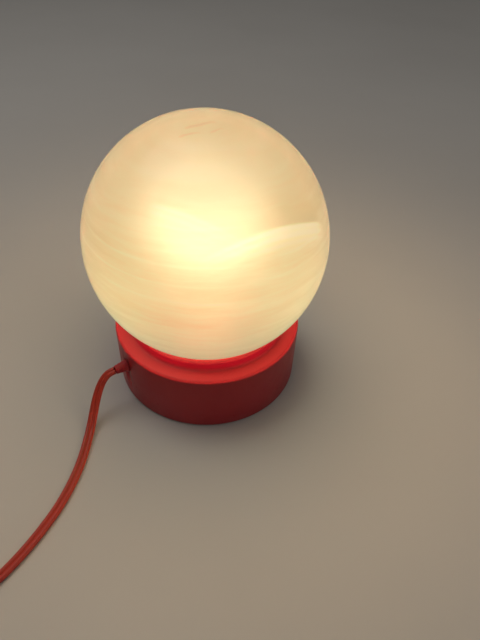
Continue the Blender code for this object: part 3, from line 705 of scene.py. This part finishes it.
def add_base():
    """One moulding: side, rounded rim, top, raised collar, seat for the globe, well and pan."""
    wall = 2.5
    rim = 2.0
    fillet = 2.2
    lip = 1.3
    inside = BASE_RADIUS - wall
    seat = GLOBE_RADIUS + 0.3
    seat_top = math.sqrt(seat ** 2 - (GLOBE_CENTRE - COLLAR_TOP) ** 2)
    seat_foot = GLOBE_CENTRE - math.sqrt(seat ** 2 - WELL_RADIUS ** 2)
    profile = [(BASE_RADIUS - 0.5, 1.0), (BASE_RADIUS - 0.15, 1.15), (BASE_RADIUS, 1.5)]
    profile += arc(BASE_RADIUS - rim, RIM_Z - rim, rim, 0, 90, 10)
    profile += arc(COLLAR_RADIUS + fillet, RIM_Z + fillet, fillet, 270, 180, 10)
    profile += arc(COLLAR_RADIUS - lip, COLLAR_TOP - lip, lip, 0, 90, 8)
    profile += [(seat_top, COLLAR_TOP), (WELL_RADIUS, seat_foot)]
    profile += arc(WELL_RADIUS - rim, LEDGE_Z + rim, rim, 0, -90, 6)
    profile += arc(PAN_RADIUS + 1, LEDGE_Z - 1, 1, 90, 180, 4)
    profile += [(PAN_RADIUS, PAN_Z), (5.4, PAN_Z), (5.4, PAN_Z - wall), (PAN_RADIUS + 2.4, PAN_Z - wall)]
    profile += [(PAN_RADIUS + 2.4, LEDGE_Z - wall), (WELL_RADIUS + 2.4, LEDGE_Z - wall)]
    profile += [(WELL_RADIUS + 2.4, RIM_Z - wall), (inside - rim, RIM_Z - wall), (inside, RIM_Z - wall - rim)]
    profile += [(inside, 1.0)]
    shell = mesh_object("base_moulding", lathe(profile, 192), base_plastic, 35)
    hole = lathe([(0, 0), (4.3, 0), (4.3, 12), (0, 12)], 40)
    cut(shell, hole, along(polar(56 * MM, EXIT_AZIMUTH, EXIT_Z * MM), EXIT_AZIMUTH))
    for i in range(4):
        spot = polar(BOSS_CIRCLE, math.pi / 2 * i)
        boss = [(1.6, 4.7), (3.4, 4.7), (3.6, 5), (3.6, LEDGE_Z - wall), (1.6, LEDGE_Z - wall)]
        post = mesh_object(f"screw_post_{i + 1}", lathe(boss, 32, (spot.x, spot.y)), base_plastic)
        place(post, "base", "base_plastic")
    return place(shell, "base", "base_plastic", "base_shell")


def add_underside():
    """Black cover with vents, countersunk screws, push-in rubber feet and a raised ring."""
    radius = BASE_RADIUS - 3.0
    profile = [(0, 2.4), (10, 2.4), (10.4, 2.2), (12, 2.2), (12.4, 2.4), (38, 2.4), (38.4, 2.2),
               (radius - 0.4, 2.2), (radius, 2.6), (radius, 4.4), (0, 4.4)]
    sink = [(0, 0), (5.3, 0), (1.8, 4.0), (1.8, 6), (0, 6)]
    foot = [(0, 0.2), (3.6, 0.2), (3.9, 0), (5.2, 0), (5.8, 0.3), (6, 0.8), (6, 1.7), (5.8, 1.9), (2, 1.9),
            (2, 4.7), (2.7, 4.7), (2.5, 5.4), (1.4, 6.7), (0, 6.7)]
    cover = mesh_object("underside_cover", lathe(profile, 128), black_plastic, 30)
    for i in range(4):
        spot = polar(BOSS_CIRCLE, math.pi / 2 * i)
        cut(cover, lathe(sink, 40, (spot.x, spot.y)))
        add_cover_screw(i + 1, spot)
        spot = polar(FOOT_CIRCLE, math.pi / 2 * (i + 0.5))
        cut(cover, lathe([(0, 0), (2.3, 0), (2.3, 6), (0, 6)], 32, (spot.x, spot.y)))
        pad = mesh_object(f"rubber_foot_{i + 1}", lathe(foot, 40, (spot.x, spot.y)), foot_rubber)
        place(pad, "base", "foot_rubber", f"foot_{i + 1}")
    for i in range(8):
        slot = prism(rounded_rectangle(15, 3, 1.45, 5), 0, 6)
        turn = Matrix.Rotation(math.pi / 4 * (i + 0.5), 4, "Z")
        cut(cover, slot, turn @ Matrix.Translation((27 * MM, 0, 0)))
    return place(cover, "base", "cover_plastic", "bottom_cover")


def add_cover_screw(index, spot):
    profile = [(0, 2.5), (2.6, 2.4), (3.0, 2.5), (1.4, 4.2)]
    for i in range(40):
        profile.append((1.3 + (0.18 if i % 2 else -0.05), 4.6 + 0.28 * i))
    profile += [(0.7, 16.6), (0, 17)]
    screw = mesh_object(f"cover_fixing_screw_{index}", lathe(profile, 32, (spot.x, spot.y)), steel)
    cut_cross(screw, spot, 1.7, 0.32, 3.4)
    return place(screw, "base", "steel", f"cover_screw_{index}")


base_piece = add_base()
add_underside()


# ---------------------------------------------------------------- lamp holder

def threaded(mean, depth, low, high):
    """Points up a screw thread that fades out at both ends."""
    points = []
    count = round((high - low) / 0.42)
    for i in range(count + 1):
        z = low + (high - low) * i / count
        points.append((mean, z, depth * ease(z, low, low + 1.5) * (1 - ease(z, high - 1.5, high))))
    return points


def add_holder():
    nipple = [(3.6, 16), (4.7, 16)]
    for i in range(32):
        nipple.append((4.95 if i % 2 else 4.65, 16.4 + 0.5 * i))
    nipple += [(4.7, 33), (3.6, 33)]
    place(mesh_object("threaded_nipple", lathe(nipple, 48), brass), "base", "brass", "holder_nipple")
    washer = [(5.3, 23.5), (8.8, 23.5), (9, 23.7), (9, 24.1), (8.8, 24.2), (5.3, 24.2)]
    place(mesh_object("lock_washer", lathe(washer, 64), steel), "base", "steel", "nipple_washer")
    hexagon = [tuple(polar(8.1, math.radians(60 * i)).xy) for i in range(6)]
    nut = add_bevel(mesh_object("hex_nut", prism(hexagon, 19.1, 23.1), steel), 0.5)
    place(cut(nut, lathe([(0, 15), (5.3, 15), (5.3, 28), (0, 28)], 48)), "base", "steel", "nipple_nut")
    cup = [(5.3, 27.3), (17.6, 27.3)] + arc(18, 29.3, 2, -90, 0, 6)
    cup += [(20, 39.4), (19.7, 40), (17.6, 40), (17.6, 30.3), (5.3, 30.3)]
    place(mesh_object("holder_cup", lathe(cup, 96), ceramic), "base", "holder_plastic", "holder_base")
    add_holder_skirt()
    block = [(0, 34), (16.6, 34), (17, 34.4), (17, 43.8), (16.6, 44.2), (0, 44.2)]
    core = mesh_object("holder_insulator", lathe(block, 64), ceramic)
    cut(core, lathe([(0, 33), (2.6, 33), (2.6, 38), (0, 38)], 32))
    for i, side in enumerate((-1, 1)):
        cut(core, lathe([(0, 33), (1.6, 33), (1.6, 39), (0, 39)], 32, (side * 9, 0)))
        screw = [(0, 31.8), (1.9, 31.6), (2.4, 32), (2.4, 33.7), (1.3, 33.7), (1.3, 38.5), (0, 38.5)]
        head = mesh_object(f"terminal_{i + 1}", lathe(screw, 32, (side * 9, 0)), brass)
        cut(head, box_mesh((side * 9 - 2.6, -0.35, 31), (side * 9 + 2.6, 0.35, 32.4)))
        place(head, "base", "brass", f"terminal_screw_{i + 1}")
    place(core, "base", "holder_ceramic", "holder_core")
    outside = threaded(14.35, 0.28, 46.2, 64.0)
    inside = [(r - 0.45, z, d) for r, z, d in reversed(outside)]
    shell = [(16, 44.5, 0), (16, 45, 0), (14.6, 45, 0)] + outside + inside + [(14.0, 44.5, 0)]
    place(mesh_object("screw_shell", lathe(shell, 96), brass, 60), "base", "brass", "holder_thread")
    upper = []
    for i in range(17):
        x = -7 + 14 * i / 16
        upper.append((x, 45.0 + 0.9 * (1 - (x / 7) ** 2)))
    lower = [(x, z - 0.5) for x, z in reversed(upper)]
    strip = transformed(prism(upper + lower, -3, 3), Matrix.Rotation(math.radians(90), 4, "X"))
    place(add_bevel(mesh_object("contact_spring", strip, brass), 0.12, 2), "base", "brass", "holder_contact")


def add_holder_skirt():
    """Outer sleeve with vertical grip ribs below a plain rounded mouth."""
    rings = []
    segments = 192
    outer = [(20, 40.3, 0), (20, 42, 0), (20, 43.5, 0.5), (20, 60, 0.5), (20, 61.5, 0), (20, 68, 0)]
    outer += [(r, z, 0) for r, z in arc(18, 68, 2, 0, 90, 6)][1:]
    outer += [(15.4, 70, 0), (15.4, 67.6, 0), (17.6, 67.6, 0), (17.6, 40.3, 0)]
    for radius, z, depth in outer:
        ring = []
        for i in range(segments):
            angle = 2 * math.pi * i / segments
            reach = radius - depth * (0.5 - 0.5 * math.cos(48 * angle))
            ring.append((reach * MM * math.cos(angle), reach * MM * math.sin(angle), z * MM))
        rings.append(ring)
    sleeve = mesh_object("holder_sleeve", loft(rings, closed=True), ceramic, 35)
    place(sleeve, "base", "holder_plastic", "holder_skirt")


add_holder()


# ---------------------------------------------------------------- bulb

BULB_RADIUS = 30
BULB_CENTRE = 121.3
BULB_GLOW = 2.2             # emission strength at its brightest


def bulb_outline(shrink):
    radius = BULB_RADIUS - shrink
    touch = -38
    start = Vector((15.2 - shrink, 78))
    end = Vector(arc(0, BULB_CENTRE, radius, touch, touch, 1)[0])
    start_slope = Vector((0, 30))
    end_slope = Vector((math.sin(math.radians(-touch)), math.cos(math.radians(touch)))) * 28
    outline = [(12.3 - shrink, 66), (12.3 - shrink, 73.3), (12.9 - shrink, 74.4), (14.2 - shrink, 75.4),
               (15.0 - shrink, 76.6)]
    for i in range(14):
        t = i / 14
        point = (start * (2 * t ** 3 - 3 * t ** 2 + 1) + start_slope * (t ** 3 - 2 * t ** 2 + t)
                 + end * (3 * t ** 2 - 2 * t ** 3) + end_slope * (t ** 3 - t ** 2))
        outline.append((point.x, point.y))
    outline += arc(0, BULB_CENTRE, radius, touch, 90, 26)
    outline[-1] = (0, BULB_CENTRE + radius)
    return outline


def frosted_glass():
    """Frosted bulb glass, lit from inside: brightest round the filament, cooler at the neck."""
    made = Maker("frosted_bulb_glass", (0.95, 0.93, 0.88), 0.55)
    z = made.split(made.coords)["Z"]
    above_neck = made.remap(z, 0.092, 0.114, 0.08, 1.0)
    below_top = made.remap(z, 0.118, 0.146, 1.0, 0.30)
    mottled = made.varied(0.92, 1.05, 90, 5, 0.6)
    made.set(Emission_Color=(1.0, 0.80, 0.48, 1.0))
    made.feed(made.product(above_neck, below_top, mottled, BULB_GLOW), "Emission Strength")
    made.bump(made.noise(1800, 2, 0.6), 0.2, 0.0001)
    return made.material


def add_glass_and_cap():
    envelope = lathe(bulb_outline(0) + list(reversed(bulb_outline(0.8))), 96)
    place(mesh_object("bulb_envelope", envelope, frosted_glass(), 60), "bulb", "bulb_glass", "bulb_glass")
    cap = [(11.4, 49.8, 0), (11.9, 49.8, 0)] + threaded(12.65, 0.45, 50.6, 66.4)
    cap += [(13.2, 67.4, 0), (13.2, 71.6, 0), (12.95, 72.2, 0), (13.2, 72.8, 0), (12.9, 73, 0),
            (12.7, 72.8, 0), (12.7, 66.6, 0)]
    cap += [(r - 0.5, z, d) for r, z, d in reversed(threaded(12.4, 0.45, 50.6, 65.8))]
    place(mesh_object("screw_cap", lathe(cap, 96), nickel, 60), "bulb", "bulb_metal", "bulb_cap")
    plug = [(0, 47.9), (4.6, 47.9), (5.4, 48.1), (7.2, 49.4), (10.4, 50.2), (10.9, 50.6), (10.9, 53), (0, 53)]
    insulator = mesh_object("cap_insulator", lathe(plug, 64), black_plastic)
    place(insulator, "bulb", "black_glass", "bulb_insulator")
    drop = [(0, 46.3), (1.6, 46.35), (2.8, 46.6), (3.9, 47.0), (4.4, 47.3), (4.4, 47.6), (0, 47.6)]
    tip = mesh_object("solder_tip", lathe(drop, 48), steel, 60)
    place(tip, "bulb_carrier", "solder", "bulb_tip")


def add_filament():
    """Glass stem, two support wires and the coiled filament that they hold."""
    stem = [(0, 68), (10.4, 68), (10.2, 69), (8.4, 70.6), (5.4, 73.4), (4, 77), (3.2, 84), (2.6, 92),
            (2.4, 97), (2.9, 101), (2.6, 103), (1.4, 104.2), (0, 104.4)]
    clear = Maker("clear_glass", (0.9, 0.93, 0.9), 0.05).set(Transmission_Weight=0.8, IOR=1.5)
    clear.bump(clear.noise(60, 3, 0.5), 0.1, 0.0004)
    place(mesh_object("glass_stem", lathe(stem, 40), clear.material, 60), "bulb", "bulb_glass", "bulb_stem")
    for i, side in enumerate((-1, 1)):
        bends = [(side * 3.6, 0, 98), (side * 4.2, 0, 103), (side * 7, 0, 112), (side * 11, 0, 122)]
        wire = round_wire(f"support_wire_{i + 1}", smooth_route(bends, 1 * MM), 0.35, nickel)
        place(wire, "bulb", "bulb_metal", f"bulb_wire_{i + 1}")
    hot = Maker("glowing_tungsten", (0.4, 0.36, 0.3), 0.5, 1.0).set(Emission_Color=(1.0, 0.66, 0.3, 1.0))
    hot.feed(hot.remap(hot.noise(900, 2, 0.5), 0.3, 0.7, 18, 26), "Emission Strength")
    arch = [(-10.2, 0, 122.4), (-5, 0, 123.6), (0, 0, 124), (5, 0, 123.6), (10.2, 0, 122.4)]
    coil = []
    for i, point in enumerate(smooth_route(arch, 0.1 * MM)):
        angle = 2 * math.pi * i / 8
        coil.append(point + Vector((0, math.cos(angle), math.sin(angle))) * 0.4 * MM)
    place(round_wire("filament_coil", coil, 0.12, hot.material, 6), "bulb", "filament", "bulb_filament")


def round_wire(name, points, radius, stuff, sides=10):
    rings = []
    for i, point in enumerate(points):
        tangent = tangent_at(points, i)
        side = Vector((0, 1, 0.01)).cross(tangent).normalized()
        other = tangent.cross(side)
        ring = []
        for k in range(sides):
            angle = 2 * math.pi * k / sides
            ring.append(point + (side * math.cos(angle) + other * math.sin(angle)) * radius * MM)
        rings.append(ring)
    return mesh_object(name, loft(rings), stuff, 60)


add_glass_and_cap()
add_filament()

INNER_ROUTE = [(-43.8, -27.4, 28.4), (-39, -24.4, 25.4), (-31, -19.4, 17), (-22, -13.7, 10.5),
               (-13, -8.1, 8), (-6, -3.7, 8.6), (-1.8, -1.1, 12), (0, 0, 18), (0, 0, 26), (0, 0, 35)]
inside_cord = round_wire("inside_cord", smooth_route(INNER_ROUTE, 1.5 * MM), 1.5, red_pvc, 16)
place(inside_cord, "base", "cord_pvc", "inner_lead")


# ---------------------------------------------------------------- globe

GLOBE_GLOW = 0.165          # emission strength of plain glass at the globe's middle height
# Level streaks: height angle in radians, half-width, gain.
ARCS = [(0.375, 0.016, 0.22), (0.245, 0.012, 0.18), (0.12, 0.010, 0.12)]
# Wisps: azimuth of the middle, its height angle, slope, curvature, then the azimuths where it
# starts, is full, starts to fade and ends, and its gain.
WISPS = [(-1.0, 0.55, -0.06, -0.42, -1.65, -0.95, -0.56, -0.42, 0.95),
         (-1.85, 0.73, -0.12, -0.40, -2.10, -2.00, -1.75, -1.25, 0.28)]
# Smudges: start and direction seen from above in globe radii, length and half-width.
SMUDGES = [((-0.15, -0.15), (0.94, 0.34), 0.24, 0.020), ((-0.19, -0.23), (0.97, 0.24), 0.16, 0.014),
           ((0.02, -0.20), (0.90, 0.44), 0.12, 0.012)]
SMUDGE_GAIN = 0.7


def clouds(made, azimuth, height):
    """Fine level bands, strongest in the lower half, over broad soft patches."""
    sway = made.remap(made.noise(9, 3, 0.5), 0, 1, -0.16, 0.16)
    level = made.node("ShaderNodeCombineXYZ")
    made.link(made.product(azimuth, 0.10), level.inputs["X"])
    made.link(made.math("ADD", height, sway), level.inputs["Y"])
    fine = made.noise(15, 5, 0.62, 0.25, level.outputs["Vector"])
    broad = made.noise(4.2, 3, 0.5, 0.2, level.outputs["Vector"])
    low_half = made.remap(height, 0.95, 0.35, 0.15, 1.0)
    bands = made.product(made.remap(fine, 0.3, 0.7, -0.16, 0.16), low_half)
    return made.math("ADD", bands, made.remap(broad, 0.3, 0.7, -0.08, 0.08))


def streak(made, height, height_at, reach, gain):
    """A thin bright level line, patchy and a little wavy."""
    wander = made.math("ADD", height, made.remap(made.noise(7, 2, 0.5), 0, 1, -0.05, 0.05))
    off_line = made.math("ABSOLUTE", made.math("SUBTRACT", wander, height_at), 0)
    patchy = made.remap(made.noise(14, 2, 0.5), 0.4, 0.6, 0.3, 1)
    return made.product(made.remap(off_line, reach, 0, 0, gain), patchy)


def wisp(made, azimuth, height, middle, rise, slope, curve, start, full, fade, end, gain):
    """A curved veil: sharp and bright along its top, fading below, with a thin shade above."""
    along_it = made.math("SUBTRACT", azimuth, middle)
    bend = made.product(along_it, along_it, curve)
    line = made.math("ADD", made.math("ADD", made.product(along_it, slope), bend), rise)
    away = made.math("SUBTRACT", height, line)
    edge = made.remap(away, 0.0, 0.035, 1, 0)
    tail = made.math("POWER", made.remap(away, -0.20, 0.0, 0, 1), 1.6)
    wave = made.math("SINE", made.product(away, 110), 0)
    ripple = made.math("ADD", made.product(wave, 0.24), 0.76)
    veil = made.product(edge, tail, ripple)
    shade = made.product(made.remap(away, 0.02, 0.05, 0, 1), made.remap(away, 0.05, 0.26, 1, 0), 0.34)
    shape = made.math("SUBTRACT", veil, shade)
    window = made.product(made.remap(azimuth, start, full, 0, 1), made.remap(azimuth, fade, end, 1, 0))
    return made.product(shape, window, gain)


def swirl(made, azimuth, height):
    """The glass's alabaster swirl, as a rise or fall of its glow."""
    cloud = clouds(made, azimuth, height)
    for values in ARCS:
        cloud = made.math("ADD", cloud, streak(made, height, *values))
    for values in WISPS:
        cloud = made.math("ADD", cloud, wisp(made, azimuth, height, *values))
    return cloud


def smudge(made, unit, start, direction, length, width):
    """A dark stroke in the glass near its top, in the level plane."""
    across = made.dot(unit, (-direction[1], direction[0], 0))
    onward = made.dot(unit, (direction[0], direction[1], 0))
    offset = start[1] * direction[0] - start[0] * direction[1]
    begins = start[0] * direction[0] + start[1] * direction[1]
    ends = begins + length
    ragged = made.varied(-0.02, 0.02, 60, 3, 0.6)
    off_line = made.math("ADD", made.math("SUBTRACT", across, offset), ragged)
    stroke = made.remap(made.math("ABSOLUTE", off_line, 0), width, 0, 0, 1)
    return made.product(stroke, made.remap(onward, begins, begins + 0.04, 0, 1),
                        made.remap(onward, ends - 0.08, ends, 1, 0))


def opal_glass():
    """Opal glass lit from inside, by the bulb's light through it and by a painted glow in its emission, with
    fine level bands and bright wisps of alabaster swirl.
    """
    made = Maker("lit_opal_glass", (0.93, 0.86, 0.74), 0.5)
    centred = made.node("ShaderNodeVectorMath", operation="SUBTRACT")
    made.link(made.coords, centred.inputs[0])
    centred.inputs[1].default_value = (0, 0, GLOBE_CENTRE * MM)
    unit = made.node("ShaderNodeVectorMath", operation="NORMALIZE")
    made.link(centred.outputs[0], unit.inputs[0])
    x, y, z = made.split(unit.outputs[0])
    azimuth = made.math("ARCTAN2", y, x)
    height = made.math("ARCSINE", z, 0.0)
    cloud = swirl(made, azimuth, height)
    for start, direction, length, width in SMUDGES:
        mark = smudge(made, unit.outputs[0], start, direction, length, width)
        cloud = made.math("SUBTRACT", cloud, made.product(mark, SMUDGE_GAIN))
    # Painted light: the glow is painted stronger towards the top, and stronger still in the lower part. There
    # transmission is cut and the emission and base colours are painted less red, against the red light from
    # the base.
    lower = made.remap(height, -0.05, -0.65, 0, 1)
    painted_height_glow = made.math("ADD", made.remap(height, 0.4, 1.2, 1.0, 1.55), made.product(lower, 2.0))
    made.feed(made.product(made.math("ADD", cloud, painted_height_glow), GLOBE_GLOW), "Emission Strength")
    made.feed(made.math("SUBTRACT", 0.8, made.product(lower, 0.6)), "Transmission Weight")
    whiteness = made.remap(cloud, -0.15, 0.45, 0, 1)
    glow_colour = made.mix(whiteness, (0.76, 0.64, 0.32), (0.88, 0.84, 0.52))
    made.feed(made.mix(lower, glow_colour, (0.66, 0.65, 0.35)), "Emission Color")
    body_colour = made.mix(whiteness, (0.88, 0.76, 0.58), (0.96, 0.90, 0.78))
    made.feed(made.mix(lower, body_colour, (0.74, 0.78, 0.60)), "Base Color")
    made.set(IOR=1.4, Coat_Weight=0.5, Coat_Roughness=0.12, Coat_IOR=1.5)
    made.feed(made.varied(0.86, 0.94, 40, 4, 0.6), "Roughness")
    made.bump(made.noise(14, 2, 0.5), 0.05, 0.0015)
    return made.material


def inner_skin():
    """The inside face: clear enough that the outside face alone spreads the bulb's light."""
    made = Maker("opal_inner_face", (0.95, 0.9, 0.8), 0.35)
    made.feed(made.varied(0.10, 0.14, 30, 3, 0.5), "Alpha")
    return made.material


def add_globe():
    inner = GLOBE_RADIUS - GLOBE_WALL
    neck = 41.25
    join = -math.degrees(math.acos(neck / GLOBE_RADIUS))
    inner_join = -math.degrees(math.acos((neck - GLOBE_WALL) / inner))
    outside = [(neck - 2.4, 36), (neck, 36)] + arc(neck, 36.9, 0.9, -60, 60, 5) + [(neck, 38.4), (neck, 42.4)]
    outside += arc(0, GLOBE_CENTRE, GLOBE_RADIUS, join, 90, 72)
    outside[-1] = (0, GLOBE_CENTRE + GLOBE_RADIUS)
    inside = arc(0, GLOBE_CENTRE, inner, 90, inner_join, 60)
    inside[0] = (0, GLOBE_CENTRE + inner)
    inside += [(neck - GLOBE_WALL, 44), (neck - GLOBE_WALL, 36.6)]
    globe = mesh_object("opal_globe", lathe(outside + inside, 144), opal_glass(), 50)
    globe.data.materials.append(inner_skin())
    centre = Vector((0, 0, GLOBE_CENTRE * MM))
    for face in globe.data.polygons:
        to_centre = centre - face.center
        flat = Vector((face.center.x, face.center.y, 0))
        facing_in = face.normal.dot(to_centre) > 0 if face.center.z > 45 * MM else face.normal.dot(flat) < 0
        if facing_in and face.center.z > 36.7 * MM:
            face.material_index = 1
    return place(globe, "globe", "opal_glass", "globe")


opal_globe = add_globe()


# ---------------------------------------------------------------- studio

FLOOR_SIZE = 12             # half the side, in metres
WORLD_LIGHT = 0.13
LAMP_COLOUR = (1.0, 0.68, 0.36)
LAMP_RADIUS = 74


def add_floor():
    bm = bmesh.new()
    bmesh.ops.create_grid(bm, x_segments=2, y_segments=2, size=FLOOR_SIZE)
    made = Maker("pale_floor", (0.62, 0.60, 0.57), 0.6)
    drift = made.varied(0, 1, 3, 4, 0.5)
    made.feed(made.mix(drift, (0.64, 0.62, 0.59), (0.60, 0.58, 0.55)), "Base Color")
    floor = mesh_object("floor", bm, made.material)


def add_light(name, position, target, size, power, colour):
    data = bpy.data.lights.new(name, "AREA")
    data.shape = "DISK"
    data.size = size
    data.energy = power
    data.color = colour
    light = add_object(name, data)
    light.location = position
    light.rotation_euler = (Vector(target) - Vector(position)).to_track_quat("-Z", "Y").to_euler()


def add_lamp_light(name, power, gloss, receivers):
    """Light that the globe throws on what stands round it; the glass's own glow is in its material."""
    data = bpy.data.lights.new(name, "POINT")
    data.energy = power
    data.color = LAMP_COLOUR
    data.shadow_soft_size = LAMP_RADIUS * MM
    light = add_object(name, data)
    light.location = (0, 0, GLOBE_CENTRE * MM)
    light.visible_camera = False
    light.visible_glossy = gloss
    light.visible_transmission = False
    lit = bpy.data.collections.new(name)
    for obj in receivers:
        lit.objects.link(obj)
    light.light_linking.receiver_collection = lit


def add_studio():
    add_light("key", (-0.6, 0.4, 1.3), (0, 0, 0.05), 1.0, 3.2, (1.0, 0.97, 0.93))
    add_light("fill", (1.2, -0.6, 0.9), (0, 0, 0.08), 1.0, 1.0, (1.0, 0.97, 0.94))
    world = bpy.data.worlds.new("studio")
    world.use_nodes = True
    background = world.node_tree.nodes["Background"]
    background.inputs["Color"].default_value = (1.0, 0.97, 0.93, 1.0)
    background.inputs["Strength"].default_value = WORLD_LIGHT
    bpy.context.scene.world = world
    bpy.context.scene.view_settings.view_transform = "Standard"
    add_floor()


add_studio()
opal_globe.visible_shadow = False
base_piece.visible_transmission = False     # or the base's red would tint the globe from inside
other_pieces = [obj for obj in bpy.context.scene.objects
                if obj.type == "MESH" and obj.name not in nodes and obj not in (opal_globe, base_piece)]
add_lamp_light("glow_on_base", 8.5, False, [base_piece])
add_lamp_light("glow_around", 2.2, True, other_pieces)
